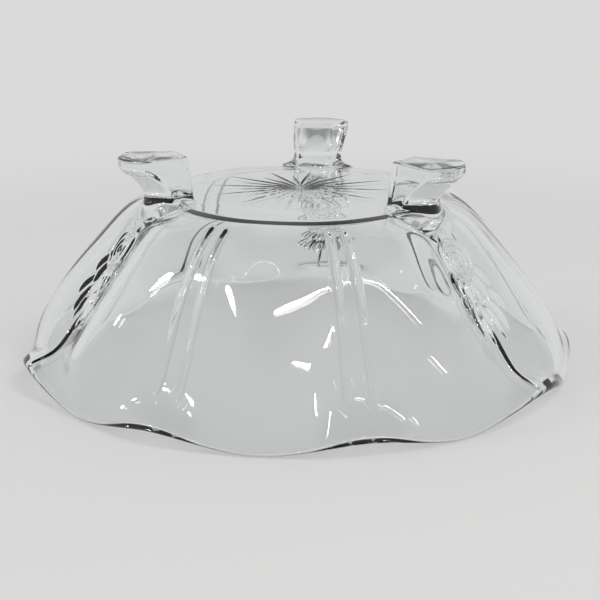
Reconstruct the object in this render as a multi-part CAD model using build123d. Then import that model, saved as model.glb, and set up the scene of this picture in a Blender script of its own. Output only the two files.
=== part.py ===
from build123d import *
import os
from math import cos, degrees, pi, radians, sin

# Footed candy dish of clear pressed glass, in millimetres.
# It stands bowl up on three scroll feet. The origin is on the dish's axis, in the plane of the soles,
# and +Z is up. The first foot is at the back, on +Y, and the others follow at equal turns.
# Round the wall run nine valleys with broad lobes between them. The three over the feet carry a leaf
# spray and the other six carry a group of reeds. The lip dips and flares at every valley.

# Whole dish
HEIGHT = 74.0
WALL = 3.0
FOOT_COUNT = 3
VALLEYS_PER_FOOT = 3
FIRST_FOOT_ANGLE = 90.0

# Flat base
BASE_RADIUS = 45.0
BASE_HEIGHT = 14.5
BASE_THICKNESS = 3.5

# Lip: how far out it reaches, and how far it dips below the lobes' lip at the valleys
LOBE_LIP_RADIUS = 93.0
REED_LIP_RADIUS = 94.5
LEAF_LIP_RADIUS = 96.5
REED_LIP_DIP = 5.5
LEAF_LIP_DIP = 8.5

# Shape of the wall between the base's edge and the lip, as shares of the way out and the way up
LOBE_CURVE = ((0.25, 0.07), (0.495, 0.245), (0.725, 0.45), (0.90, 0.66), (0.98, 0.85))
REED_CURVE = ((0.20, 0.09), (0.395, 0.26), (0.54, 0.455), (0.665, 0.675), (0.79, 0.86))
LEAF_CURVE = ((0.175, 0.12), (0.32, 0.31), (0.452, 0.495), (0.583, 0.67), (0.713, 0.832), (0.835, 0.945))
SHOULDER_SLOPE = 14.0
LOBE_LIP_SLOPE = 88.0
VALLEY_LIP_SLOPE = 24.0
VALLEY_SHARPNESS = 1.2
OUTER_LEVELS = 10
INNER_LEVELS = 8
LIP_LEVELS = 3
COLUMN_STEP = 2.5

# Reeds: the raised flutes that run down six of the valleys, from a squared top to a faded end
REEDS_PER_GROUP = 3
REED_PITCH_ANGLE = 4.0
REED_HEIGHT = 1.2
REED_CREST_SHARE = 0.5
REED_STEP = 0.085
REED_TOP = 0.10
REED_FADE = 0.66
REED_END = 0.86

# Star of grooves pressed into the underside of the base
STAR_RAYS = 24
STAR_INNER_RADIUS = 3.5
STAR_LONG_RADIUS = 30.0
STAR_SHORT_RADIUS = 22.0
STAR_GROOVE_WIDTH = 1.5
STAR_GROOVE_DEPTH = 0.8

# Scroll feet: heel towards the axis, toe outwards, waisted neck between sole and boss
HEEL_RADIUS = 41.0
HEEL_WIDTH = 12.0
TOE_CORNER_RADIUS = 57.5
TOE_CORNER_WIDTH = 21.0
TOE_RADIUS = 62.5
TOE_THICKNESS = 4.2
NECK_RADIUS = 50.0
NECK_HEIGHT = 12.5
HEEL_LEAN = 2.0
SOLE_CHAMFER = 0.8
HOLLOW_SHARPNESS = 2.1
HOLLOW_STEPS = 8
TOE_STEPS = 4

# Boss: the oval pad between neck and wall
BOSS_RADIUS = 48.5
BOSS_REACH = 9.0
BOSS_HALF_WIDTH = 12.5
BOSS_DROP = 3.2
BOSS_TAPER = 2.0
BOSS_SIDES = 24

# Leaf spray: an eye beside the boss, a stem down the valley and two tiers of fronds. Each frond's start
# and end are given as (across the valley, ahead of the boss), and every one has a twin on the other side.
SPRAY_START = 0.235
STEM_START = 0.20
STEM_END = 0.95
STEM_WIDTH = 5.0
STEM_LIP_WIDTH = 9.0
STEM_HEIGHT = 1.5
STEM_LIP_HEIGHT = 0.7
STEM_STATIONS = 9
EYE_AHEAD = 7.0
EYE_HALF_LENGTH = 8.2
EYE_HALF_WIDTH = 6.2
EYE_HEIGHT = 2.1
EYE_RING_WIDTH = 1.7
EYE_RING_DEPTH = 1.0
EYE_SIDES = 24
UPPER_FRONDS = (((1.0, 12.0), (2.4, 25.5)), ((3.2, 11.0), (5.6, 22.5)), ((4.6, 8.5), (8.6, 18.0)))
LOWER_FRONDS = (((1.8, 20.5), (3.2, 36.5)), ((2.0, 17.5), (6.8, 33.0)), ((2.2, 14.0), (9.8, 27.0)))
FROND_ROOT_WIDTH = 3.8
FROND_WIDTH = 5.4
FROND_HEIGHT = 1.9
RELIEF_SINK = 1.5

FOOT_STEP = 360 / FOOT_COUNT
VALLEY_COUNT = FOOT_COUNT * VALLEYS_PER_FOOT
VALLEY_STEP = 360 / VALLEY_COUNT
LIP_TOP = HEIGHT - WALL / 2
FLOOR_HEIGHT = BASE_HEIGHT + BASE_THICKNESS
FOOT_NAMES = ("back", "left", "right")


def meridian(lip_radius, lip_height, curve, lip_slope):
    """Outer line of the wall in one upright plane, as (radius, height) places with their directions."""
    reach = lip_radius - BASE_RADIUS
    rise = lip_height - BASE_HEIGHT
    points = [(BASE_RADIUS, BASE_HEIGHT)]
    points += [(BASE_RADIUS + reach * out, BASE_HEIGHT + rise * up) for out, up in curve]
    points += [(lip_radius, lip_height)]
    ends = [(cos(radians(slope)), sin(radians(slope))) for slope in (SHOULDER_SLOPE, lip_slope)]
    return Spline(points, tangents=ends)


LOBE_LINE = meridian(LOBE_LIP_RADIUS, LIP_TOP, LOBE_CURVE, LOBE_LIP_SLOPE)
REED_LINE = meridian(REED_LIP_RADIUS, LIP_TOP - REED_LIP_DIP, REED_CURVE, VALLEY_LIP_SLOPE)
LEAF_LINE = meridian(LEAF_LIP_RADIUS, LIP_TOP - LEAF_LIP_DIP, LEAF_CURVE, VALLEY_LIP_SLOPE)


def wall_place(turn, along):
    """Place and direction on the outer wall: turn is the angle from a foot, along runs from 0 at the
    base's edge to 1 at the lip. Both come back as (outwards, upwards)."""
    depth = ((1 + cos(radians(turn * VALLEY_COUNT))) / 2) ** VALLEY_SHARPNESS
    over_foot = round(turn / VALLEY_STEP) % VALLEYS_PER_FOOT == 0
    valley = LEAF_LINE if over_foot else REED_LINE
    place = LOBE_LINE.position_at(along) * (1 - depth) + valley.position_at(along) * depth
    way = LOBE_LINE.tangent_at(along) * (1 - depth) + valley.tangent_at(along) * depth
    return place, way.normalized()


def reed_relief(turn, along):
    """How far the reeds stand out of the wall: a row of flat-topped arches in a reed group, or nothing."""
    valley = round(turn / VALLEY_STEP)
    pitches = (turn - valley * VALLEY_STEP) / REED_PITCH_ANGLE
    beside = valley % VALLEYS_PER_FOOT == 0 or abs(pitches) >= REEDS_PER_GROUP / 2
    if beside or not REED_TOP <= along < REED_END:
        return 0.0
    from_middle = abs((pitches + REEDS_PER_GROUP / 2) % 1 - 0.5)
    arch = min(1.0, (0.5 - from_middle) / (0.5 - REED_CREST_SHARE / 2))
    fade = max(0.0, (along - REED_FADE) / (REED_END - REED_FADE))
    return REED_HEIGHT * arch * (1 - fade ** 2)


def outer_point(turn, along):
    place, way = wall_place(turn, along)
    relief = reed_relief(turn, along)
    return place.X + relief * way.Y, place.Y - relief * way.X


def lip_point(turn, share):
    place, way = wall_place(turn, 1)
    across = WALL / 2 * (1 - cos(pi * share))
    ahead = WALL / 2 * sin(pi * share)
    return place.X - across * way.Y + ahead * way.X, place.Y + across * way.X + ahead * way.Y


def inner_point(turn, along):
    if along == 0:
        return BASE_RADIUS - WALL * sin(radians(SHOULDER_SLOPE)), FLOOR_HEIGHT
    place, way = wall_place(turn, along)
    return place.X - WALL * way.Y, place.Y + WALL * way.X


def column_turns():
    """Turns of the wall's facets: evenly spaced, with closer ones where a reed group stands."""
    half = REEDS_PER_GROUP / 2
    middles = [reed + 0.5 - half for reed in range(REEDS_PER_GROUP)]
    crest = REED_CREST_SHARE / 2
    pitches = [middle + share for middle in middles for share in (-0.5, -crest, crest)]
    offsets = [pitch * REED_PITCH_ANGLE for pitch in pitches + [half]]
    span = VALLEY_STEP - 2 * offsets[-1]
    count = round(span / COLUMN_STEP)
    between = [offsets[-1] + span * step / count for step in range(1, count)]
    leafy = [-offsets[-1] + 2 * offsets[-1] * step / 4 for step in range(5)]
    turns = []
    for valley in range(VALLEY_COUNT):
        group = offsets if valley % VALLEYS_PER_FOOT else leafy
        turns += [valley * VALLEY_STEP + offset for offset in group + between]
    return turns


def make_ring(point_at, share):
    """The wall's corners at one level, once round the dish."""
    ring = []
    for turn in column_turns():
        out, up = point_at(turn, share)
        ring.append(Vector(out, 0, up).rotate(Axis.Z, turn))
    return ring


def make_faceted(rings):
    """A closed solid of three-cornered facets between the rings, with a flat face in each end ring."""
    facets = [Face(Wire.make_polygon(rings[0])), Face(Wire.make_polygon(rings[-1]))]
    for lower, upper in zip(rings, rings[1:]):
        corners = zip(lower, lower[1:] + lower[:1], upper[1:] + upper[:1], upper)
        for first, second, third, fourth in corners:
            facets.append(Face(Wire.make_polygon([first, second, third])))
            facets.append(Face(Wire.make_polygon([first, third, fourth])))
    return Solid(Shell(facets))


def make_wall():
    """The ruffled, reeded wall with its base: up the outside, over the lip and down the inside."""
    levels = [0.0, REED_STEP]
    levels += [REED_TOP + (1 - REED_TOP) * step / OUTER_LEVELS for step in range(OUTER_LEVELS + 1)]
    rings = [make_ring(outer_point, level) for level in levels]
    rings += [make_ring(lip_point, step / LIP_LEVELS) for step in range(1, LIP_LEVELS)]
    rings += [make_ring(inner_point, step / INNER_LEVELS) for step in range(INNER_LEVELS, -1, -1)]
    return make_faceted(rings)


def wall_plane(turn, along):
    """A plane on the outer wall: x across the valley, y towards the lip, z out of the glass."""
    place, way = wall_place(turn, along)
    towards_lip = Vector(way.X, 0, way.Y).rotate(Axis.Z, turn)
    outwards = Vector(way.Y, 0, -way.X).rotate(Axis.Z, turn)
    origin = Vector(place.X, 0, place.Y).rotate(Axis.Z, turn)
    return Plane(origin=origin, x_dir=towards_lip.cross(outwards), z_dir=outwards)


def make_star():
    """The grooves under the base, long and short in turn, each with a sharp floor and pointed ends."""
    grooves = []
    for ray in range(STAR_RAYS):
        reach = STAR_SHORT_RADIUS if ray % 2 else STAR_LONG_RADIUS
        length = reach - STAR_INNER_RADIUS
        half = STAR_GROOVE_WIDTH / 2
        groove = Solid.make_wedge(
            length, STAR_GROOVE_DEPTH, STAR_GROOVE_WIDTH, length * 0.4, half, length * 0.6, half
        )
        groove = Pos(STAR_INNER_RADIUS, 0, BASE_HEIGHT) * Rot(X=90) * Pos(0, 0, -half) * groove
        grooves.append(Rot(Z=FIRST_FOOT_ANGLE + 360 * ray / STAR_RAYS) * groove)
    return grooves


def make_foot_block():
    """Sole, toe and neck: the side outline crossed with the fan-shaped plan. The toe points along +X."""
    root = FLOOR_HEIGHT + WALL
    side = [(NECK_RADIUS, root), (HEEL_RADIUS - HEEL_LEAN, root), (HEEL_RADIUS, 0), (TOE_RADIUS, 0)]
    for step in range(HOLLOW_STEPS + 1):
        share = step / HOLLOW_STEPS
        out = NECK_RADIUS + (TOE_RADIUS - NECK_RADIUS) * (1 - share) ** HOLLOW_SHARPNESS
        side.append((out, TOE_THICKNESS + (NECK_HEIGHT - TOE_THICKNESS) * share))
    profile = extrude(Plane.XZ * make_face(Polyline(side, close=True)), TOE_CORNER_WIDTH, both=True)
    corner = TOE_CORNER_WIDTH / 2
    slope = (corner - HEEL_WIDTH / 2) / (TOE_CORNER_RADIUS - HEEL_RADIUS)
    inner = HEEL_RADIUS - 2 * HEEL_LEAN
    half_inner = HEEL_WIDTH / 2 - slope * (HEEL_RADIUS - inner)
    plan = [(inner, -half_inner)]
    for step in range(-TOE_STEPS, TOE_STEPS + 1):
        share = step / TOE_STEPS
        out = TOE_CORNER_RADIUS + (TOE_RADIUS - TOE_CORNER_RADIUS) * (1 - share ** 2)
        plan.append((out, corner * share))
    plan.append((inner, half_inner))
    block = profile & extrude(make_face(Polyline(plan, close=True)), root)
    sole = block.faces().sort_by(Axis.Z)[0]
    return chamfer(sole.edges(), SOLE_CHAMFER)


def oval(plane, half_length, half_width, sides):
    """The corners of a many-sided ellipse in a plane, with its length along the plane's x."""
    corners = []
    for side in range(sides):
        turn = 2 * pi * side / sides
        corner = Vector(half_length * cos(turn), half_width * sin(turn), 0)
        corners.append(plane.from_local_coords(corner))
    return corners


def make_boss():
    """The oval pad that widens from the neck into the wall. It runs on up through the glass."""
    eye, _ = wall_place(0, spray_place(EYE_AHEAD))
    rings = []
    for height, inset in ((BASE_HEIGHT - BOSS_DROP / 2, BOSS_TAPER), (FLOOR_HEIGHT + WALL, 0), (eye.Y, 0)):
        plane = Plane((BOSS_RADIUS, 0, height))
        rings.append(oval(plane, BOSS_REACH - inset, BOSS_HALF_WIDTH - inset, BOSS_SIDES))
    return make_faceted(rings)


def make_foot(wall):
    """A foot with its boss, seated on the wall. It is made for the foot on +X."""
    foot = make_foot_block().fuse(make_boss()).cut(wall)
    return foot.solids().sort_by(Axis.Z)[0]


def spray_place(ahead):
    """Share of the way up the leaf valley at a distance ahead of the boss."""
    return SPRAY_START + ahead / LEAF_LINE.length


def spray_point(across, ahead, level):
    """A place on the wall across the valley and ahead of the boss, lifted out of the glass by a level."""
    along = spray_place(ahead)
    turn = degrees(across / LEAF_LINE.position_at(along).X)
    return wall_plane(turn, along).from_local_coords(Vector(0, 0, level))


def make_stem():
    """The rib that carries the spray down the valley and flares out at the lip."""
    sections = []
    for step in range(STEM_STATIONS + 1):
        share = step / STEM_STATIONS
        half = (STEM_WIDTH + (STEM_LIP_WIDTH - STEM_WIDTH) * share ** 2) / 2
        height = STEM_HEIGHT + (STEM_LIP_HEIGHT - STEM_HEIGHT) * share ** 2
        plane = wall_plane(0, STEM_START + (STEM_END - STEM_START) * share)
        corners = [(-half, -RELIEF_SINK), (-half, 0), (-half / 2, height), (half / 2, height), (half, 0)]
        corners.append((half, -RELIEF_SINK))
        sections.append([plane.from_local_coords(Vector(across, 0, up)) for across, up in corners])
    return make_faceted(sections)


def make_eye():
    """The oval scroll at the head of the spray: a raised rim round a sunk ring and a raised middle."""
    plane = wall_plane(0, spray_place(EYE_AHEAD))
    rings = []
    for inset, level in (
        (0, -RELIEF_SINK),
        (0.4 * EYE_RING_WIDTH, EYE_HEIGHT),
        (1.4 * EYE_RING_WIDTH, EYE_HEIGHT - EYE_RING_DEPTH),
        (2.4 * EYE_RING_WIDTH, EYE_HEIGHT),
    ):
        rings.append(oval(plane.offset(level), EYE_HALF_WIDTH - inset, EYE_HALF_LENGTH - inset, EYE_SIDES))
    return make_faceted(rings)


def make_frond(start, end, side):
    """One pointed frond with a sharp crest, on the side of the stem that is given as 1 or -1."""
    start = Vector(side * start[0], start[1])
    end = Vector(side * end[0], end[1])
    ahead = end - start
    aside = ahead.normalized().rotate(Axis.Z, 90) / 2
    root = aside * FROND_ROOT_WIDTH
    widest = start + ahead * 0.3
    half = aside * FROND_WIDTH
    outline = [start + root, widest + half, end, widest - half, start - root]
    crest = [start + ahead * 0.15, start + ahead * 0.65]
    corners = [spray_point(spot.X, spot.Y, -RELIEF_SINK) for spot in outline]
    corners += [spray_point(spot.X, spot.Y, FROND_HEIGHT) for spot in crest]
    return ConvexPolyhedron(corners)


def make_spray(wall, foot):
    """Stem, eye and fronds as one relief, seated on the wall and against the foot's boss."""
    fronds = [make_frond(*ends, side) for ends in UPPER_FRONDS + LOWER_FRONDS for side in (-1, 1)]
    spray = make_stem().fuse(make_eye(), *fronds)
    return spray.cut(wall).cut(foot)


def main():
    wall = make_wall()
    bowl = wall.cut(*make_star())
    foot = make_foot(wall)
    spray = make_spray(wall, foot)
    os.makedirs("parts", exist_ok=True)
    export_step(Rot(Z=FIRST_FOOT_ANGLE) * bowl, "parts/bowl.step")
    for number, name in enumerate(FOOT_NAMES):
        turn = Rot(Z=FIRST_FOOT_ANGLE + number * FOOT_STEP)
        export_step(turn * foot, f"parts/foot_{name}.step")
        export_step(turn * spray, f"parts/leaf_spray_{name}.step")


main()
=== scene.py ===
from math import cos, pi, radians, sin

import bpy
import numpy as np
from bpy.props import FloatProperty, FloatVectorProperty, IntProperty, PointerProperty
from mathutils import Matrix, Vector


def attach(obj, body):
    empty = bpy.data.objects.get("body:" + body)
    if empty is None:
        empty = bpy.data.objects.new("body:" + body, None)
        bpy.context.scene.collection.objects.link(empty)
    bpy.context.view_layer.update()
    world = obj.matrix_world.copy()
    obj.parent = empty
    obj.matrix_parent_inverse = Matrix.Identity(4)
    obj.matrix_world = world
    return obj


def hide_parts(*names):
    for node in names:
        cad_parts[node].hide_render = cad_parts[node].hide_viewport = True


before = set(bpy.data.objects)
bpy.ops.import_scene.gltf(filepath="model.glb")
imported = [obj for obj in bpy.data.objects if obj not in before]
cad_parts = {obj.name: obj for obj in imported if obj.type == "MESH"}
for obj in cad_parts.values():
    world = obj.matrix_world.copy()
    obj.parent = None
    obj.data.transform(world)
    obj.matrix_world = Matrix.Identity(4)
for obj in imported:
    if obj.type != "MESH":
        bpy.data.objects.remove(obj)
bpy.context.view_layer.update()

bl_info = {
    "name": "Footed Candy Dish",
    "version": (1, 0, 0),
    "blender": (4, 5, 0),
    "location": "View3D > Sidebar > Candy Dish",
    "description": "Builds a ruffled dish of pressed clear glass on three scroll feet",
    "category": "Add Mesh",
}

GLASS_NAME = "candy_dish_glass"

# Unless a comment says otherwise, lengths from here on are millimetres and angles are degrees.
# The others are shares from 0 to 1, or the exponent of a curve. What is called along, and the
# start and end of the grooves, are shares of the way up the wall from the base's edge to the lip.

FOOT_TURNS = (90.0, 210.0, 330.0)
VALLEYS = 9
VALLEY_STEP = 360 / VALLEYS
VALLEYS_PER_FOOT = 3

# The wall's lines: places as shares of the way out and up from the base's edge to the lip
SHOULDER_SLOPE = 14.0
SHOULDER_REACH = 13.0
LOBE_LINE = (0.24, 0.07), (0.468, 0.245), (0.69, 0.45), (0.875, 0.66), (0.978, 0.85)
LOBE_LIP_SLOPE = 88
REED_LINE = (0.20, 0.09), (0.395, 0.26), (0.54, 0.455), (0.665, 0.675), (0.79, 0.86)
LEAF_LINE = (
    (0.175, 0.12), (0.32, 0.31), (0.452, 0.495), (0.583, 0.67), (0.713, 0.832), (0.835, 0.945))
VALLEY_LIP_SLOPE = 24

# The bowl's mesh: gap and reach of the close columns, and the count of rows along each side
SPRAY_COLUMNS = (0.22, 9.0)
REED_COLUMNS = (0.27, 10.8)
PLAIN_COLUMN_GAP = 0.8
UNDER_ROWS, OUTER_ROWS, LIP_ROWS, INNER_ROWS, FLOOR_ROWS = 44, 171, 9, 61, 40
PLAIN, UNDERSIDE, OUTSIDE = 0, 1, 2

# The two grooves that leave a reed between them. Their half width is an angle
GROOVE_HALF_WIDTH = 1.5
GROOVE_START, GROOVE_SOFT_START = 0.095, 0.03
GROOVE_END, GROOVE_ROUND_END = 0.885, 0.05

# The star under the base
SHORT_RAY = 0.73
RAY_HALF_WIDTH = 1.0
RAY_TAPER = 0.55
STAR_HUB, STAR_HUB_FADE = 1.5, 6

# The leaf spray, across and up the valley from its start, with heights as shares of its height
SPRAY_START = 17.0
EYE_PLACE, EYE_HALF_WIDTH, EYE_HALF_LENGTH, EYE_TAPER = 7.0, 5.9, 7.6, 0.10
EYE_EDGE, EYE_SOFT_EDGE = 1.16, 0.14
EYE_LEVEL, EYE_DOME, EYE_RING_HEIGHT, EYE_RING_STEP = 0.35, 0.3, 0.5, 0.33
LEAVES = (  # start, end, bow, half width, height
    ((1.0, 13.0), (2.4, 25.5), 0.3, 1.5, 0.95),
    ((3.4, 11.6), (5.6, 22.5), 0.9, 1.5, 0.95),
    ((5.2, 9.0), (8.6, 18.0), 1.0, 1.4, 0.8),
    ((2.2, 22.0), (3.2, 36.5), 0.5, 1.7, 1.0),
    ((4.0, 20.5), (6.8, 33.0), 1.0, 1.6, 0.95),
    ((6.0, 17.5), (9.8, 27.0), 1.0, 1.5, 0.8),
)
MIDDLE_LEAF = ((0, 22.0), (0, 34.0), 0, 1.7)
LEAF_SHOULDER, LEAF_TAPER, LEAF_TAPER_CURVE = 0.25, 0.5, 0.7
LEAF_CREST_CURVE, LEAF_END_CURVE = 0.8, 0.5
STEM_START, STEM_SOFT_START, STEM_SOFT_EDGE = 27, 6, 0.9
STEM_WIDENS_FROM, STEM_WIDENS_OVER = 30, 26
STEM_HALF_WIDTH, STEM_WIDENS_BY = 2.4, 2.4
STEM_HEIGHT, STEM_SINKS_BY = 0.75, 0.25
ROOT_HEIGHT, ROOT_HALF_WIDTH, ROOT_LENGTH, ROOT_SOFT_EDGE = 0.55, 3.2, 3, 1.2
LIP_FADE, LIP_LEAVES = 0.03, 0.35

# The feet. The heel leans in by the first length over the second one's height
SOLE_ROUNDING = 1.1
HEEL_LEAN = (2.0, 18)
TOE_EDGE_ROUNDING = 0.6
TOE_SOFT_REACH = 0.8
TOE_HOLLOW = 1.55
CORNER_SETBACK, TOE_FLATTENS = 6.8, 1.8
NECK_NARROWS = 1.5
NECK_TOP = 12.8
CORNER_SOFTNESS = 0.55
BOSS_MIDDLE = 48.0
BOSS_REACH = 9.8
BOSS_HALF_WIDTH = 13.2
BOSS_FLARE, BOSS_RISE = 1.6, 0.9
INTO_WALL = 0.45

# The stage, in metres and radians
FLOORS = (  # name, height, radius, start and end of its fade
    ("floor_under_feet", -0.0003, 1.3, 0.22, 0.62),
    ("floor_under_rim", 0.0742, 0.7, 0.20, 0.45),
)
FLOOR_CORNERS = 96
SURROUND = (0.70, 0.70, 0.70)
STRAIGHT_UP_AND_DOWN = (0.26, 0.265, 0.27)
DISH_MIDDLE = 0.037
LAMP_AIM = (0, 0, 0.04)
WHITE, WARM = (1.0, 1.0, 1.0), (1.0, 0.96, 0.88)
# name, place across, ahead and above the dish's middle, width, length, share of the light, colour.
# Each lamp has a twin as far below the middle.
LAMPS = (
    ("broad_lamp", -0.45, -0.35, 0.75, 0.35, None, 0.5, WHITE),
    ("window_lamp", 0.70, -0.22, 0.50, 0.052, None, 0.13, WHITE),
    ("window_lamp", 0.57, -0.286, 0.615, 0.052, None, 0.13, WHITE),
    ("long_tube", -0.25, -0.41, 0.743, 0.012, 0.5, 0.25, WARM),
    ("short_tube", -0.57, -0.48, 0.50, 0.012, 0.22, 0.12, WARM),
)
UNREFLECTED_LAMPS = ("broad_lamp",)
CAMERA_PITCH, CAMERA_TURN = 0.29, 0.137
CAMERA_PLACE = (0, -0.430, -0.074)


class DishSettings(bpy.types.PropertyGroup):
    """Sizes of the bowl."""

    height: FloatProperty(
        name="Height", description="Soles to the top of the lobes' lip",
        default=0.074, unit="LENGTH")
    wall: FloatProperty(
        name="Wall", description="Thickness of the pressed wall", default=0.003, unit="LENGTH")
    base_radius: FloatProperty(
        name="Base radius", description="Radius of the flat base", default=0.045, unit="LENGTH")
    base_height: FloatProperty(
        name="Base height", description="Underside of the base above the soles",
        default=0.0145, unit="LENGTH")
    base_thickness: FloatProperty(
        name="Base thickness", description="Glass in the flat base",
        default=0.0035, unit="LENGTH")
    lobe_lip: FloatProperty(
        name="Lobe lip", description="Lip radius on the lobes", default=0.0923, unit="LENGTH")
    reed_lip: FloatProperty(
        name="Reed lip", description="Lip radius at the reeded valleys",
        default=0.0932, unit="LENGTH")
    leaf_lip: FloatProperty(
        name="Leaf lip", description="Lip radius at the leaf valleys",
        default=0.0952, unit="LENGTH")
    reed_dip: FloatProperty(
        name="Reed dip", description="Drop of the lip at the reeded valleys",
        default=0.0055, unit="LENGTH")
    leaf_dip: FloatProperty(
        name="Leaf dip", description="Drop of the lip at the leaf valleys",
        default=0.0085, unit="LENGTH")


class ReliefSettings(bpy.types.PropertyGroup):
    """Sizes of the ornament pressed into the outside."""

    groove_depth: FloatProperty(
        name="Groove depth", description="Depth of the grooves on both sides of a reed",
        default=0.0011, unit="LENGTH")
    groove_pitch: FloatProperty(
        name="Groove pitch", description="Turn from one groove of a pair to the other",
        default=radians(5.4), subtype="ANGLE")
    star_rays: IntProperty(
        name="Star rays", description="Grooves of the star under the base", default=24, min=6)
    star_depth: FloatProperty(
        name="Star depth", description="Depth of the star's grooves",
        default=0.00022, unit="LENGTH")
    star_radius: FloatProperty(
        name="Star radius", description="Reach of the longer rays", default=0.030, unit="LENGTH")
    spray_height: FloatProperty(
        name="Spray height", description="How far the leaf sprays stand out",
        default=0.0016, unit="LENGTH")


class FootSettings(bpy.types.PropertyGroup):
    """Sizes of the scroll feet."""

    heel_radius: FloatProperty(
        name="Heel", description="Heel's distance from the axis", default=0.041, unit="LENGTH")
    heel_width: FloatProperty(
        name="Heel width", description="Width of the heel", default=0.012, unit="LENGTH")
    toe_radius: FloatProperty(
        name="Toe", description="Tip of the toe from the axis", default=0.0625, unit="LENGTH")
    toe_width: FloatProperty(
        name="Toe width", description="Width at the toe's corners", default=0.021, unit="LENGTH")
    toe_thickness: FloatProperty(
        name="Toe thickness", description="Height of the toe's edge",
        default=0.0042, unit="LENGTH")
    neck_radius: FloatProperty(
        name="Neck", description="Outer face of the neck from the axis",
        default=0.0543, unit="LENGTH")


class GlassSettings(bpy.types.PropertyGroup):
    """Finish of the glass."""

    tint: FloatVectorProperty(
        name="Tint", description="Colour of the clear glass", subtype="COLOR", size=3,
        default=(0.955, 0.975, 0.968), min=0.0, max=1.0)
    ior: FloatProperty(
        name="Refraction", description="Refractive index of the glass",
        default=1.51, min=1.0, max=2.0)
    ripple: FloatProperty(
        name="Ripple", description="Strength of the pressed surface's faint waves",
        default=0.06, min=0.0, max=1.0)


class StageSettings(bpy.types.PropertyGroup):
    """Floor and lights."""

    floor: FloatVectorProperty(
        name="Floor", description="Colour of the plain floor", subtype="COLOR", size=3,
        default=(0.88, 0.88, 0.88), min=0.0, max=1.0)
    light: FloatProperty(
        name="Light", description="Power that every lamp takes its own share of",
        default=3.0, min=0.0, unit="POWER")


def mm(value):
    return value * 1000


def pairs(first, second):
    return np.stack([first, second], axis=-1)


def smooth_step(value):
    value = np.clip(value, 0.0, 1.0)
    return value * value * (3 - 2 * value)


# The bowl's wall


class Meridian:
    """Outer line of the wall in one upright plane: a smooth curve through a few places."""

    def __init__(self, start, lip, shares, lip_slope, samples=801):
        reach, rise = lip[0] - start[0], lip[1] - start[1]
        between = [(start[0] + reach * out, start[1] + rise * up) for out, up in shares]
        points = np.array([start] + between + [lip])
        steps = np.hypot(*np.diff(points, axis=0).T)
        places = np.concatenate([[0], np.cumsum(steps)])
        ends = np.array([(cos(a), sin(a)) for a in (radians(SHOULDER_SLOPE), radians(lip_slope))])
        slopes = clamped_slopes(points, steps, ends)
        along = np.linspace(0, places[-1], samples)
        span = np.clip(np.searchsorted(places, along, side="right") - 1, 0, len(steps) - 1)
        width = steps[span][:, None]
        t = ((along - places[span]) / steps[span])[:, None]
        a, b = points[span], points[span + 1]
        m, n = slopes[span] * width, slopes[span + 1] * width
        line = ((2 * t**3 - 3 * t**2 + 1) * a + (t**3 - 2 * t**2 + t) * m
                + (3 * t**2 - 2 * t**3) * b + (t**3 - t**2) * n)
        way = ((6 * t**2 - 6 * t) * a + (3 * t**2 - 4 * t + 1) * m
               + (6 * t - 6 * t**2) * b + (3 * t**2 - 2 * t) * n)
        length = np.concatenate([[0], np.cumsum(np.hypot(*np.diff(line, axis=0).T))])
        self.length = length[-1]
        self.share = length / length[-1]
        self.line = line
        self.way = way / np.hypot(*way.T)[:, None]

    def at(self, along):
        return pairs(*(np.interp(along, self.share, column) for column in self.line.T))

    def direction(self, along):
        return pairs(*(np.interp(along, self.share, column) for column in self.way.T))


def clamped_slopes(points, steps, ends):
    """Slopes that make a curve through the points turn evenly, with the end directions given."""
    count = len(points)
    matrix = np.zeros((count, count))
    right = np.zeros((count, 2))
    matrix[0, 0] = matrix[-1, -1] = 1
    right[0], right[-1] = ends
    for i in range(1, count - 1):
        before, after = steps[i - 1], steps[i]
        matrix[i, i - 1:i + 2] = after, 2 * (before + after), before
        right[i] = 3 * (after * (points[i] - points[i - 1]) / before
                        + before * (points[i + 1] - points[i]) / after)
    return np.linalg.solve(matrix, right)


class WallShape:
    """The ruffled wall in millimetres: lobes between nine valleys, three of them over the feet."""

    def __init__(self, dish):
        self.wall = mm(dish.wall)
        self.base = mm(dish.base_radius), mm(dish.base_height)
        self.floor = mm(dish.base_height + dish.base_thickness)
        top = mm(dish.height) - self.wall / 2
        lobe_lip = mm(dish.lobe_lip), top
        reed_lip = mm(dish.reed_lip), top - mm(dish.reed_dip)
        leaf_lip = mm(dish.leaf_lip), top - mm(dish.leaf_dip)
        self.lobe = Meridian(self.base, lobe_lip, LOBE_LINE, LOBE_LIP_SLOPE)
        self.reed = Meridian(self.base, reed_lip, REED_LINE, VALLEY_LIP_SLOPE)
        self.leaf = Meridian(self.base, leaf_lip, LEAF_LINE, VALLEY_LIP_SLOPE)

    def place(self, turn, along):
        """Radius and height on the outside, and the direction towards the lip, at each turn."""
        deep = (1 + np.cos(np.radians(turn * 360 / VALLEY_STEP))) / 2
        leafy = (np.round(turn / VALLEY_STEP) % VALLEYS_PER_FOOT == 0)[..., None]
        deep = deep[..., None]
        valley = np.where(leafy, self.leaf.at(along), self.reed.at(along))
        valley_way = np.where(leafy, self.leaf.direction(along), self.reed.direction(along))
        spot = self.lobe.at(along) * (1 - deep) + valley * deep
        way = self.lobe.direction(along) * (1 - deep) + valley_way * deep
        return spot, way / np.linalg.norm(way, axis=-1, keepdims=True)

    def outside_over(self, spots, samples=200):
        """Height of the bowl's outside above the soles, over places in plan near a foot."""
        base_radius, base_height = self.base
        radius = np.hypot(*spots.T)
        turns = np.degrees(np.arctan2(spots[:, 1], spots[:, 0]))
        along = np.linspace(0, 0.5, samples)
        heights = []
        for turn, out in zip(turns, np.maximum(radius, base_radius)):
            line, _ = self.place(np.full(samples, turn), along)
            heights.append(np.interp(out, line[:, 0], line[:, 1]))
        return np.where(radius < base_radius, base_height, np.array(heights))


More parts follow.
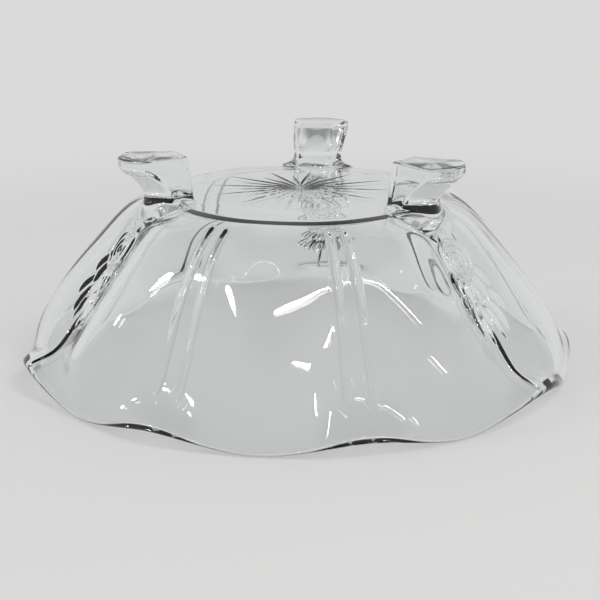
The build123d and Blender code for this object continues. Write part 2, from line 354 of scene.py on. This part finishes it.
def column_turns():
    """Turns of the mesh's columns, close together over the sprays and the reeds."""
    turns = []
    half_step = VALLEY_STEP / 2
    for valley in range(VALLEYS):
        middle = valley * VALLEY_STEP
        fine, reach = SPRAY_COLUMNS if valley % VALLEYS_PER_FOOT == 0 else REED_COLUMNS
        inside = np.linspace(-reach, reach, int(round(2 * reach / fine)) + 1)
        plain = int(round((half_step - reach) / PLAIN_COLUMN_GAP))
        outside = np.linspace(reach, half_step, plain + 1)[1:]
        turns += list(middle + inside) + list(middle + outside)
        turns += list(middle - outside[:-1])
    return np.array(sorted(turn % 360 for turn in turns))


def lay_rows():
    """The section's rows as (side, share) pairs: under the base, up, over the lip, down and in."""
    under = [("under", share) for share in np.linspace(0.02, 1, UNDER_ROWS)[:-1]]
    outer = [("outer", along) for along in np.linspace(0, 1, OUTER_ROWS)]
    lip = [("lip", share) for share in np.linspace(0, 1, LIP_ROWS)[1:-1]]
    inner = [("inner", along) for along in np.linspace(1, 0, INNER_ROWS)]
    floor = [("floor", share) for share in np.linspace(1, 0.05, FLOOR_ROWS)[1:]]
    return under + outer + lip + inner + floor


def row_points(shape, side, share, turns):
    """One row's radius, height and outward direction at each column."""
    ones = np.ones_like(turns)
    outer_edge, base_height = shape.base
    inner_edge = outer_edge - shape.wall * sin(radians(SHOULDER_SLOPE))
    if side == "under":
        spot = pairs(outer_edge * share * ones, base_height * ones)
        return ease_shoulder(spot, outer_edge), pairs(0 * ones, -ones)
    if side == "floor" or side == "inner" and share == 0:
        share = share if side == "floor" else 1.0
        spot = pairs(inner_edge * share * ones, shape.floor * ones)
        return ease_shoulder(spot, inner_edge), pairs(0 * ones, ones)
    along = ones if side == "lip" else ones * share
    spot, way = shape.place(turns, along)
    out = pairs(way[:, 1], -way[:, 0])
    if side == "outer":
        return ease_shoulder(spot, outer_edge), out
    if side == "lip":
        swing = pi * share
        half = shape.wall / 2
        spot = spot - out * half * (1 - cos(swing)) + way * half * sin(swing)
        return spot, out * cos(swing) + way * sin(swing)
    return ease_shoulder(spot - out * shape.wall, inner_edge), -out


def ease_shoulder(spot, edge):
    """Round the bend between the flat base and the wall, on both sides of its edge."""
    short = np.clip(SHOULDER_REACH - np.abs(spot[:, 0] - edge), 0, None)
    lift = sin(radians(SHOULDER_SLOPE)) * short ** 2 / (4 * SHOULDER_REACH)
    return spot + pairs(0 * short, lift)


def turned_round(section, angle):
    """Radius and height pairs turned round the dish's axis."""
    radius, height = section.T
    return np.stack([radius * np.cos(angle), radius * np.sin(angle), height], axis=-1)


def build_bowl(settings):
    """The plain ruffled bowl as one closed mesh, with its surface's chart kept as attributes."""
    shape = WallShape(settings)
    turns = column_turns()
    rows = lay_rows()
    angle = np.radians(turns + FOOT_TURNS[0])
    codes = {"under": UNDERSIDE, "outer": OUTSIDE}
    points, outs, charts = [], [], []
    for side, share in rows:
        spot, out = row_points(shape, side, share, turns)
        points.append(turned_round(spot, angle))
        outs.append(turned_round(out, angle))
        code = np.full_like(turns, codes.get(side, PLAIN))
        charts.append(np.stack([turns, np.full_like(turns, share), code], axis=-1))
    columns = len(turns)
    first, last = [[0, 0, shape.base[1]]], [[0, 0, shape.floor]]
    vertices = np.concatenate([first] + points + [last]) / 1000
    outs = np.concatenate([[[0, 0, -1.0]]] + outs + [[[0, 0, 1.0]]])
    charts = np.concatenate([[[0, 0, 0.0]]] + charts + [[[0, 0, 0.0]]])
    grid = 1 + np.arange(len(rows) * columns).reshape(len(rows), columns)
    following = np.roll(grid, -1, axis=1)
    quads = np.stack([following[:-1], following[1:], grid[1:], grid[:-1]], axis=-1)
    faces = quads.reshape(-1, 4).tolist()
    faces += [(0, int(a), int(b)) for a, b in zip(following[0], grid[0])]
    faces += [(len(vertices) - 1, int(a), int(b)) for a, b in zip(grid[-1], following[-1])]
    mesh = bpy.data.meshes.new(GLASS_NAME)
    mesh.from_pydata(vertices.tolist(), [], faces)
    mesh.update()
    for name, values in (("outwards", outs), ("chart", charts)):
        layer = mesh.attributes.new(name, "FLOAT_VECTOR", "POINT")
        layer.data.foreach_set("vector", values.ravel())
    glass = bpy.data.objects.new(GLASS_NAME, mesh)
    bpy.context.scene.collection.objects.link(glass)
    return glass


def press(glass, relief):
    """Move the surface in or out: relief gives millimetres for (side, turn, along)."""
    mesh = glass.data
    count = len(mesh.vertices)
    spots, outs, charts = (np.empty(count * 3) for _ in range(3))
    mesh.vertices.foreach_get("co", spots)
    mesh.attributes["outwards"].data.foreach_get("vector", outs)
    mesh.attributes["chart"].data.foreach_get("vector", charts)
    turn, along, side = charts.reshape(-1, 3).T
    lift = relief(np.round(side), turn, along) / 1000
    spots = spots.reshape(-1, 3) + outs.reshape(-1, 3) * lift[:, None]
    mesh.vertices.foreach_set("co", spots.ravel())
    mesh.update()


def beside_valley(turn):
    """Turn from the nearest valley's middle, and whether that valley is over a foot."""
    valley = np.round(turn / VALLEY_STEP)
    return turn - valley * VALLEY_STEP, valley % VALLEYS_PER_FOOT == 0


def reed_relief(settings, side, turn, along):
    """A pair of round-bottomed grooves, soft at the base and round at the lip's end."""
    offset, leafy = beside_valley(turn)
    pitch = np.degrees(settings.groove_pitch)
    across = np.clip(np.abs(np.abs(offset) - pitch / 2) / GROOVE_HALF_WIDTH, 0, 1)
    groove = 0.5 + 0.5 * np.cos(pi * across)
    groove = groove * smooth_step((along - GROOVE_START) / GROOVE_SOFT_START)
    groove = groove * np.sqrt(np.clip((GROOVE_END - along) / GROOVE_ROUND_END, 0, 1))
    return np.where((side == OUTSIDE) & ~leafy, -mm(settings.groove_depth) * groove, 0.0)


def star_relief(settings, base_radius, side, turn, along):
    """Pointed grooves from the base's middle, long and short by turns."""
    radius = along * mm(base_radius)
    step = 360 / settings.star_rays
    ray = np.round(turn / step)
    across = np.abs(turn - ray * step) * pi / 180 * radius
    reach = mm(settings.star_radius) * np.where(ray % 2 == 0, 1.0, SHORT_RAY)
    swell = np.clip((reach - radius) / (RAY_TAPER * reach), 0, 1)
    swell = swell * np.clip((radius - STAR_HUB) / STAR_HUB_FADE, 0, 1)
    cut = smooth_step(1 - across / (RAY_HALF_WIDTH * swell + 1e-6))
    return np.where(side == UNDERSIDE, -mm(settings.star_depth) * cut * np.sqrt(swell), 0.0)


def leaf_relief(x, y, start, end, bow, half_width, height):
    """A pointed leaf along a bowed line, with a crest down its middle."""
    start, end = np.array(start), np.array(end)
    run = end - start
    length = np.hypot(*run)
    ahead = run / length
    t = ((x - start[0]) * ahead[0] + (y - start[1]) * ahead[1]) / length
    across = (x - start[0]) * ahead[1] - (y - start[1]) * ahead[0] - bow * 4 * t * (1 - t)
    inside = np.clip(t, 0, 1)
    width = half_width * np.sqrt(np.clip(inside / LEAF_SHOULDER, 0, 1))
    width = width * np.clip((1 - inside) / LEAF_TAPER, 0, 1) ** LEAF_TAPER_CURVE
    crest = np.clip(1 - np.abs(across) / (width + 1e-6), 0, 1) ** LEAF_CREST_CURVE
    fullness = np.clip(width / half_width, 0, 1) ** LEAF_END_CURVE
    return np.where((t > 0) & (t < 1), height * crest * fullness, 0.0)


def eye_relief(x, y, tall):
    """The spray's eye: nested oval rings, highest in the middle."""
    half_width = EYE_HALF_WIDTH - EYE_TAPER * (y - EYE_PLACE)
    rings = np.hypot(x / half_width, (y - EYE_PLACE) / EYE_HALF_LENGTH)
    wave = 0.5 + 0.5 * np.cos(2 * pi * (rings - 1) / EYE_RING_STEP)
    level = EYE_LEVEL + EYE_DOME * (1 - rings) + EYE_RING_HEIGHT * wave
    eye = np.where(rings < EYE_EDGE, level, 0)
    return tall * eye * smooth_step((EYE_EDGE - rings) / EYE_SOFT_EDGE)


def stem_relief(x, y, tall):
    """The spray's stem, wider and lower towards the lip."""
    nearer_lip = smooth_step((y - STEM_WIDENS_FROM) / STEM_WIDENS_OVER)
    half_width = STEM_HALF_WIDTH + STEM_WIDENS_BY * nearer_lip
    level = tall * (STEM_HEIGHT - STEM_SINKS_BY * nearer_lip)
    edge = smooth_step((half_width - np.abs(x)) / STEM_SOFT_EDGE)
    return level * edge * smooth_step((y - STEM_START) / STEM_SOFT_START)


def root_relief(x, y, tall):
    """The low ridge that runs from the boss into the eye."""
    edge = smooth_step((ROOT_HALF_WIDTH - np.abs(x)) / ROOT_SOFT_EDGE)
    return tall * ROOT_HEIGHT * edge * smooth_step((ROOT_LENGTH - y) / ROOT_LENGTH)


def spray_relief(settings, shape, side, turn, along):
    """Leaf spray over a foot: eye, two tiers of leaves on each hand, and a stem to the lip."""
    offset, leafy = beside_valley(turn)
    radius = shape.leaf.at(along)[:, 0]
    x = np.radians(offset) * radius
    y = along * shape.leaf.length - SPRAY_START
    tall = mm(settings.spray_height)
    forms = [relief(x, y, tall) for relief in (eye_relief, stem_relief, root_relief)]
    forms.append(leaf_relief(x, y, *MIDDLE_LEAF, tall))
    for hand in (-1, 1):
        for start, end, bow, half_width, share in LEAVES:
            start, end = (hand * start[0], start[1]), (hand * end[0], end[1])
            forms.append(leaf_relief(x, y, start, end, hand * bow, half_width, tall * share))
    lift = np.maximum.reduce(forms) * smooth_step((1.0 - along) / LIP_FADE + LIP_LEAVES)
    return np.where((side == OUTSIDE) & leafy, lift, 0.0)


# The feet


def fan_ring(heel, toe, corner, heel_half, corner_half, count=144):
    """A closed outline in plan: straight heel and sides, rounded toe, with corners softened."""
    swing = np.linspace(-1, 1, 25)
    sag = toe - corner
    arc = [(corner + sag * (1 - s * s), corner_half * s) for s in swing]
    outline = np.array([(heel, heel_half), (heel, -heel_half)] + arc + [(heel, heel_half)])
    steps = np.hypot(*np.diff(outline, axis=0).T)
    length = np.concatenate([[0], np.cumsum(steps)])
    places = np.linspace(0, length[-1], count, endpoint=False)
    ring = pairs(*(np.interp(places, length, column) for column in outline.T))
    gap = length[-1] / count
    shifts = np.arange(-6, 7)
    weights = np.exp(-((shifts * gap) ** 2) / (2 * CORNER_SOFTNESS**2))
    weights /= weights.sum()
    return sum(weight * np.roll(ring, int(by), axis=0) for weight, by in zip(weights, shifts))


def ring_inset(ring, amount):
    ahead = np.roll(ring, -1, axis=0) - np.roll(ring, 1, axis=0)
    ahead /= np.hypot(*ahead.T)[:, None]
    return ring + pairs(-ahead[:, 1], ahead[:, 0]) * amount


def toe_line(settings, height):
    """Distance of the foot's outer face from the axis at a height: toe edge, hollow and neck."""
    toe, neck = mm(settings.toe_radius), mm(settings.neck_radius)
    edge = mm(settings.toe_thickness) - TOE_EDGE_ROUNDING
    near = height + np.linspace(-TOE_SOFT_REACH, TOE_SOFT_REACH, 9)
    share = np.clip((near - edge) / (NECK_TOP - edge), 0, 1)
    return (neck + (toe - neck) * (1 - share) ** TOE_HOLLOW).mean()


def foot_ring(settings, height):
    """The foot's outline in plan at a height between the sole and the neck's top."""
    heel_half, corner_half = mm(settings.heel_width) / 2, mm(settings.toe_width) / 2
    toe_radius, neck_radius = mm(settings.toe_radius), mm(settings.neck_radius)
    lean, lean_height = HEEL_LEAN
    toe = toe_line(settings, height)
    heel = mm(settings.heel_radius) - lean * height / lean_height
    spread = (toe - neck_radius) / (toe_radius - neck_radius)
    corner = toe - CORNER_SETBACK + TOE_FLATTENS * spread
    ring = fan_ring(heel, toe, corner, heel_half, corner_half - NECK_NARROWS * (1 - spread))
    short = SOLE_ROUNDING - min(height, SOLE_ROUNDING)
    return ring_inset(ring, SOLE_ROUNDING - np.sqrt(max(0.0, SOLE_ROUNDING**2 - short**2)))


def build_foot(settings, shape):
    """One scroll foot on +X: rings from the sole up through the neck and boss into the wall."""
    sole = list(np.linspace(0, SOLE_ROUNDING, 7))
    upright = list(np.linspace(SOLE_ROUNDING, NECK_TOP, 34)[1:])
    rings = []
    for height in sole + upright:
        ring = foot_ring(settings, height)
        rings.append(np.column_stack([ring, np.full(len(ring), height)]))
    neck = rings[-1][:, :2]
    middle = np.array([BOSS_MIDDLE, 0.0])
    lean = np.arctan2(neck[:, 1] / BOSS_HALF_WIDTH, (neck[:, 0] - BOSS_MIDDLE) / BOSS_REACH)
    oval = np.column_stack([np.cos(lean) * BOSS_REACH, np.sin(lean) * BOSS_HALF_WIDTH]) + middle
    under = shape.outside_over(oval)
    for share in np.linspace(0, 1, 15)[1:]:
        flare = share ** BOSS_FLARE
        spot = neck * (1 - flare) + oval * flare
        height = NECK_TOP + (under - NECK_TOP) * share ** BOSS_RISE
        rings.append(np.column_stack([spot, height]))
    for share in (0.96, 0.8, 0.6, 0.4, 0.2):
        spot = middle + (oval - middle) * share
        height = shape.outside_over(spot) + shape.wall * INTO_WALL
        rings.append(np.column_stack([spot, height]))
    return closed_rings("scroll_foot", rings, np.append(rings[0][:, :2].mean(axis=0), 0.0),
                        np.append(middle, rings[-1][:, 2].mean()))


def closed_rings(name, rings, bottom, top):
    """A mesh through rings of equal count, closed by fans to a point at each end."""
    count = len(rings[0])
    vertices = np.concatenate([[bottom]] + rings + [[top]]) / 1000
    around = [(i, (i + 1) % count) for i in range(count)]
    faces = []
    for level in range(len(rings) - 1):
        low, high = 1 + level * count, 1 + (level + 1) * count
        faces += [(low + i, low + j, high + j, high + i) for i, j in around]
    last = 1 + (len(rings) - 1) * count
    faces += [(0, 1 + j, 1 + i) for i, j in around]
    faces += [(len(vertices) - 1, last + i, last + j) for i, j in around]
    mesh = bpy.data.meshes.new(name)
    mesh.from_pydata(vertices.tolist(), [], faces)
    mesh.update()
    return mesh


# Materials


def node(tree, kind, place, sockets=None, **values):
    """A new node at a place, with its values and the plain values of its sockets."""
    made = tree.nodes.new(kind)
    made.location = place
    for name, value in values.items():
        setattr(made, name, value)
    for name, value in (sockets or {}).items():
        made.inputs[name].default_value = value
    return made


def new_material(name):
    material = bpy.data.materials.new(name)
    material.use_nodes = True
    material.node_tree.nodes.clear()
    return material


def glass_material(settings):
    """Clear pressed glass: faint waves all over and dull scuffs where the soles rub."""
    material = new_material("pressed_clear_glass")
    tree = material.node_tree
    output = node(tree, "ShaderNodeOutputMaterial", (600, 0))
    glass = node(tree, "ShaderNodeBsdfPrincipled", (300, 0), {
        "Base Color": (*settings.tint, 1), "IOR": settings.ior, "Transmission Weight": 1.0})
    coordinates = node(tree, "ShaderNodeTexCoord", (-900, 0))
    waves = node(tree, "ShaderNodeTexNoise", (-500, -250), {"Scale": 90.0, "Detail": 1.0})
    bump = node(tree, "ShaderNodeBump", (0, -250), {
        "Strength": settings.ripple, "Distance": 0.0004})
    split = node(tree, "ShaderNodeSeparateXYZ", (-700, 250))
    near_sole = node(tree, "ShaderNodeMapRange", (-500, 250), {
        "From Min": 0.0006, "From Max": 0.0})
    scuffs = node(tree, "ShaderNodeTexNoise", (-500, 0), {"Scale": 900.0, "Detail": 4.0})
    worn = node(tree, "ShaderNodeMath", (-300, 150), operation="MULTIPLY")
    rough = node(tree, "ShaderNodeMapRange", (-100, 150), {"To Min": 0.006, "To Max": 0.35})
    link = tree.links.new
    link(coordinates.outputs["Object"], waves.inputs["Vector"])
    link(coordinates.outputs["Object"], scuffs.inputs["Vector"])
    link(coordinates.outputs["Object"], split.inputs["Vector"])
    link(split.outputs["Z"], near_sole.inputs["Value"])
    link(near_sole.outputs["Result"], worn.inputs[0])
    link(scuffs.outputs["Fac"], worn.inputs[1])
    link(worn.outputs["Value"], rough.inputs["Value"])
    link(rough.outputs["Result"], glass.inputs["Roughness"])
    link(waves.outputs["Fac"], bump.inputs["Height"])
    link(bump.outputs["Normal"], glass.inputs["Normal"])
    link(glass.outputs["BSDF"], output.inputs["Surface"])
    return material


def floor_material(name, colour, fade_start, fade_end, past_another):
    """Plain pale floor, seen from its own side by the camera and through the glass, that fades
    out far from the dish. It is half plain paint and half its own pale tone, which keeps the
    dish's shadow soft. With past_another set, it shows only to a view that has come through the
    other floor's back."""
    material = new_material(name)
    tree = material.node_tree
    output = node(tree, "ShaderNodeOutputMaterial", (800, 0))
    mix = node(tree, "ShaderNodeMixShader", (600, 0))
    clear = node(tree, "ShaderNodeBsdfTransparent", (400, 100))
    paint = node(tree, "ShaderNodeBsdfDiffuse", (200, -100), {"Color": (*colour, 1)})
    tone = node(tree, "ShaderNodeEmission", (200, -300), {"Color": (*colour, 1), "Strength": 0.75})
    soft = node(tree, "ShaderNodeMixShader", (400, -100), {"Fac": 0.5})
    path = node(tree, "ShaderNodeLightPath", (-400, 200))
    side = node(tree, "ShaderNodeNewGeometry", (-400, -200))
    coordinates = node(tree, "ShaderNodeTexCoord", (-400, -500))
    far = node(tree, "ShaderNodeVectorMath", (-200, -500), operation="LENGTH")
    fade = node(tree, "ShaderNodeMapRange", (0, -500), {
        "From Min": fade_end, "From Max": fade_start}, interpolation_type="SMOOTHSTEP")
    straight = node(tree, "ShaderNodeMath", (-200, 0), {1: 0.5}, operation="LESS_THAN")
    through = node(tree, "ShaderNodeMath", (-50, 100), operation="MULTIPLY")
    seen = node(tree, "ShaderNodeMath", (100, 200), operation="ADD", use_clamp=True)
    front = node(tree, "ShaderNodeMath", (-200, -200), {0: 1.0}, operation="SUBTRACT")
    both = node(tree, "ShaderNodeMath", (200, 0), operation="MULTIPLY")
    near = node(tree, "ShaderNodeMath", (350, -250), operation="MULTIPLY")
    past = node(tree, "ShaderNodeMath", (350, -450), {
        1: 0.5 if past_another else -0.5}, operation="GREATER_THAN")
    shown = node(tree, "ShaderNodeMath", (500, -250), operation="MULTIPLY")
    link = tree.links.new
    link(path.outputs["Glossy Depth"], straight.inputs[0])
    link(straight.outputs[0], through.inputs[0])
    link(path.outputs["Is Transmission Ray"], through.inputs[1])
    link(path.outputs["Is Camera Ray"], seen.inputs[0])
    link(through.outputs[0], seen.inputs[1])
    link(side.outputs["Backfacing"], front.inputs[1])
    link(seen.outputs[0], both.inputs[0])
    link(front.outputs[0], both.inputs[1])
    link(coordinates.outputs["Object"], far.inputs[0])
    link(far.outputs["Value"], fade.inputs["Value"])
    link(both.outputs[0], near.inputs[0])
    link(fade.outputs["Result"], near.inputs[1])
    link(path.outputs["Transparent Depth"], past.inputs[0])
    link(near.outputs[0], shown.inputs[0])
    link(past.outputs[0], shown.inputs[1])
    link(shown.outputs[0], mix.inputs["Fac"])
    link(clear.outputs[0], mix.inputs[1])
    link(paint.outputs[0], soft.inputs[1])
    link(tone.outputs[0], soft.inputs[2])
    link(soft.outputs[0], mix.inputs[2])
    link(mix.outputs[0], output.inputs["Surface"])
    return material


# The stage


def pale_world(pale, dark):
    """An even pale surround that darkens straight above and straight below."""
    world = bpy.data.worlds.new("pale_surround")
    bpy.context.scene.world = world
    world.use_nodes = True
    tree = world.node_tree
    tree.nodes.clear()
    output = node(tree, "ShaderNodeOutputWorld", (600, 0))
    light = node(tree, "ShaderNodeBackground", (400, 0))
    coordinates = node(tree, "ShaderNodeTexCoord", (-600, 0))
    split = node(tree, "ShaderNodeSeparateXYZ", (-400, 0))
    steep = node(tree, "ShaderNodeMath", (-200, 0), operation="ABSOLUTE")
    ramp = node(tree, "ShaderNodeValToRGB", (0, 0))
    ramp.color_ramp.interpolation = "EASE"
    for stop, place, colour in zip(ramp.color_ramp.elements, (0.62, 0.92), (pale, dark)):
        stop.position = place
        stop.color = (*colour, 1)
    link = tree.links.new
    link(coordinates.outputs["Generated"], split.inputs[0])
    link(split.outputs["Z"], steep.inputs[0])
    link(steep.outputs[0], ramp.inputs["Fac"])
    link(ramp.outputs["Color"], light.inputs["Color"])
    link(light.outputs[0], output.inputs["Surface"])


def add_floor(name, height, radius, fade_start, fade_end, colour):
    """A round floor: the one under the feet faces up, the one over the rim faces down."""
    upper = height > 0
    flip = -1 if upper else 1
    turns = np.linspace(0, 2 * pi, FLOOR_CORNERS, endpoint=False)
    ring = [(radius * cos(turn), flip * radius * sin(turn), 0) for turn in turns]
    mesh = bpy.data.meshes.new(name)
    mesh.from_pydata(ring, [], [tuple(range(FLOOR_CORNERS))])
    mesh.materials.append(floor_material(name, colour, fade_start, fade_end, upper))
    floor = bpy.data.objects.new(name, mesh)
    floor.location.z = height
    floor.visible_diffuse = floor.visible_glossy = floor.visible_shadow = False
    bpy.context.scene.collection.objects.link(floor)
    return floor


def add_lamp(name, place, width, length, power, colour):
    """A soft lamp that faces the dish: a disk, or with a length a tube that runs along X."""
    data = bpy.data.lights.new(name, "AREA")
    data.energy = power
    data.color = colour
    data.shape = "RECTANGLE" if length else "DISK"
    data.size = length or width
    data.size_y = width
    lamp = bpy.data.objects.new(name, data)
    ahead = (Vector(LAMP_AIM) - Vector(place)).normalized()
    aside = (Vector((1, 0, 0)) - ahead * ahead.x).normalized()
    turned = Matrix((aside, aside.cross(ahead), -ahead)).transposed().to_4x4()
    turned.translation = place
    lamp.matrix_world = turned
    lamp.visible_camera = False
    if name in UNREFLECTED_LAMPS:
        lamp.visible_glossy = lamp.visible_transmission = False
    bpy.context.scene.collection.objects.link(lamp)


def add_camera():
    """The photograph's view. It shows the dish rim down, so the camera hangs head down below."""
    data = bpy.data.cameras.new("photograph_view")
    data.sensor_width = 36.0
    data.lens = 77.4
    camera = bpy.data.objects.new("photograph_view", data)
    spin = Matrix.Rotation(-CAMERA_TURN, 4, "Z")
    look = spin @ Vector((0, cos(CAMERA_PITCH), sin(CAMERA_PITCH)))
    up = spin @ Vector((0, sin(CAMERA_PITCH), -cos(CAMERA_PITCH)))
    matrix = Matrix((look.cross(up), up, -look)).transposed().to_4x4()
    matrix.translation = spin @ Vector(CAMERA_PLACE)
    camera.matrix_world = matrix
    bpy.context.scene.collection.objects.link(camera)
    bpy.context.scene.camera = camera


# Operators


class CANDYDISH_OT_bowl(bpy.types.Operator):
    """Build the ruffled bowl with its flat base"""

    bl_idname = "candydish.bowl"
    bl_label = "Bowl"

    def execute(self, context):
        glass = build_bowl(context.scene.candydish_dish)
        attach(glass, "root")
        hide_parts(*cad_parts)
        return {"FINISHED"}


class CANDYDISH_OT_reeds(bpy.types.Operator):
    """Cut the pairs of grooves that leave a reed between them in six of the valleys"""

    bl_idname = "candydish.reeds"
    bl_label = "Reeds"

    def execute(self, context):
        relief = context.scene.candydish_relief
        press(bpy.data.objects[GLASS_NAME], lambda *chart: reed_relief(relief, *chart))
        return {"FINISHED"}


class CANDYDISH_OT_star(bpy.types.Operator):
    """Cut the star of grooves under the base"""

    bl_idname = "candydish.star"
    bl_label = "Star"

    def execute(self, context):
        relief = context.scene.candydish_relief
        radius = context.scene.candydish_dish.base_radius
        press(bpy.data.objects[GLASS_NAME], lambda *chart: star_relief(relief, radius, *chart))
        return {"FINISHED"}


class CANDYDISH_OT_sprays(bpy.types.Operator):
    """Raise the leaf sprays over the feet"""

    bl_idname = "candydish.sprays"
    bl_label = "Leaf sprays"

    def execute(self, context):
        relief = context.scene.candydish_relief
        shape = WallShape(context.scene.candydish_dish)
        press(bpy.data.objects[GLASS_NAME], lambda *chart: spray_relief(relief, shape, *chart))
        return {"FINISHED"}


class CANDYDISH_OT_feet(bpy.types.Operator):
    """Build the three scroll feet and join them to the bowl as one piece of glass"""

    bl_idname = "candydish.feet"
    bl_label = "Scroll feet"

    def execute(self, context):
        glass = bpy.data.objects[GLASS_NAME]
        shape = WallShape(context.scene.candydish_dish)
        mesh = build_foot(context.scene.candydish_foot, shape)
        feet = []
        for turn in FOOT_TURNS:
            foot = bpy.data.objects.new("scroll_foot", mesh)
            foot.rotation_euler.z = radians(turn)
            context.scene.collection.objects.link(foot)
            feet.append(foot)
            union = glass.modifiers.new("join", "BOOLEAN")
            union.operation = "UNION"
            union.solver = "MANIFOLD"
            union.object = foot
        context.view_layer.update()
        evaluated = glass.evaluated_get(context.evaluated_depsgraph_get())
        joined = bpy.data.meshes.new_from_object(evaluated)
        before = len(glass.data.vertices)
        glass.modifiers.clear()
        glass.data = joined
        for foot in feet:
            bpy.data.objects.remove(foot)
        if len(joined.vertices) <= before:
            raise RuntimeError("the feet didn't join the bowl")
        return {"FINISHED"}


class CANDYDISH_OT_glass(bpy.types.Operator):
    """Give the dish its clear pressed glass"""

    bl_idname = "candydish.glass"
    bl_label = "Glass"

    def execute(self, context):
        mesh = bpy.data.objects[GLASS_NAME].data
        mesh.materials.clear()
        mesh.materials.append(glass_material(context.scene.candydish_glass))
        mesh.shade_smooth()
        return {"FINISHED"}


class CANDYDISH_OT_stage(bpy.types.Operator):
    """Lay the plain pale floors and set the lights and the camera"""

    bl_idname = "candydish.stage"
    bl_label = "Stage"

    def execute(self, context):
        settings = context.scene.candydish_stage
        for row in FLOORS:
            floor = add_floor(*row, settings.floor)
        pale_world(SURROUND, STRAIGHT_UP_AND_DOWN)
        context.scene.view_settings.view_transform = "Standard"
        for side in (-1, 1):
            for name, across, ahead, above, width, length, share, colour in LAMPS:
                place = (across, ahead, DISH_MIDDLE + side * above)
                add_lamp(name, place, width, length, settings.light * share, colour)
        add_camera()
        return {"FINISHED"}


class CANDYDISH_PT_panel(bpy.types.Panel):
    """The pieces of the dish, in the order they are made"""

    bl_idname = "CANDYDISH_PT_panel"
    bl_label = "Footed Candy Dish"
    bl_space_type = "VIEW_3D"
    bl_region_type = "UI"
    bl_category = "Candy Dish"

    def draw(self, context):
        layout = self.layout
        for operator in OPERATORS:
            layout.operator(operator.bl_idname)
        for name, _ in SETTINGS:
            settings = getattr(context.scene, name)
            box = layout.box()
            box.label(text=type(settings).__doc__)
            for prop in settings.bl_rna.properties:
                if prop.identifier not in ("rna_type", "name"):
                    box.prop(settings, prop.identifier)


SETTINGS = (
    ("candydish_dish", DishSettings),
    ("candydish_relief", ReliefSettings),
    ("candydish_foot", FootSettings),
    ("candydish_glass", GlassSettings),
    ("candydish_stage", StageSettings),
)
OPERATORS = (
    CANDYDISH_OT_bowl,
    CANDYDISH_OT_reeds,
    CANDYDISH_OT_star,
    CANDYDISH_OT_sprays,
    CANDYDISH_OT_feet,
    CANDYDISH_OT_glass,
    CANDYDISH_OT_stage,
)


def register():
    for name, group in SETTINGS:
        bpy.utils.register_class(group)
        setattr(bpy.types.Scene, name, PointerProperty(type=group))
    for operator in OPERATORS:
        bpy.utils.register_class(operator)
    bpy.utils.register_class(CANDYDISH_PT_panel)


def unregister():
    bpy.utils.unregister_class(CANDYDISH_PT_panel)
    for operator in reversed(OPERATORS):
        bpy.utils.unregister_class(operator)
    for name, group in reversed(SETTINGS):
        delattr(bpy.types.Scene, name)
        bpy.utils.unregister_class(group)


def main():
    register()
    bpy.ops.candydish.bowl()
    bpy.ops.candydish.reeds()
    bpy.ops.candydish.star()
    bpy.ops.candydish.sprays()
    bpy.ops.candydish.feet()
    bpy.ops.candydish.glass()
    bpy.ops.candydish.stage()


if __name__ == "__main__":
    main()
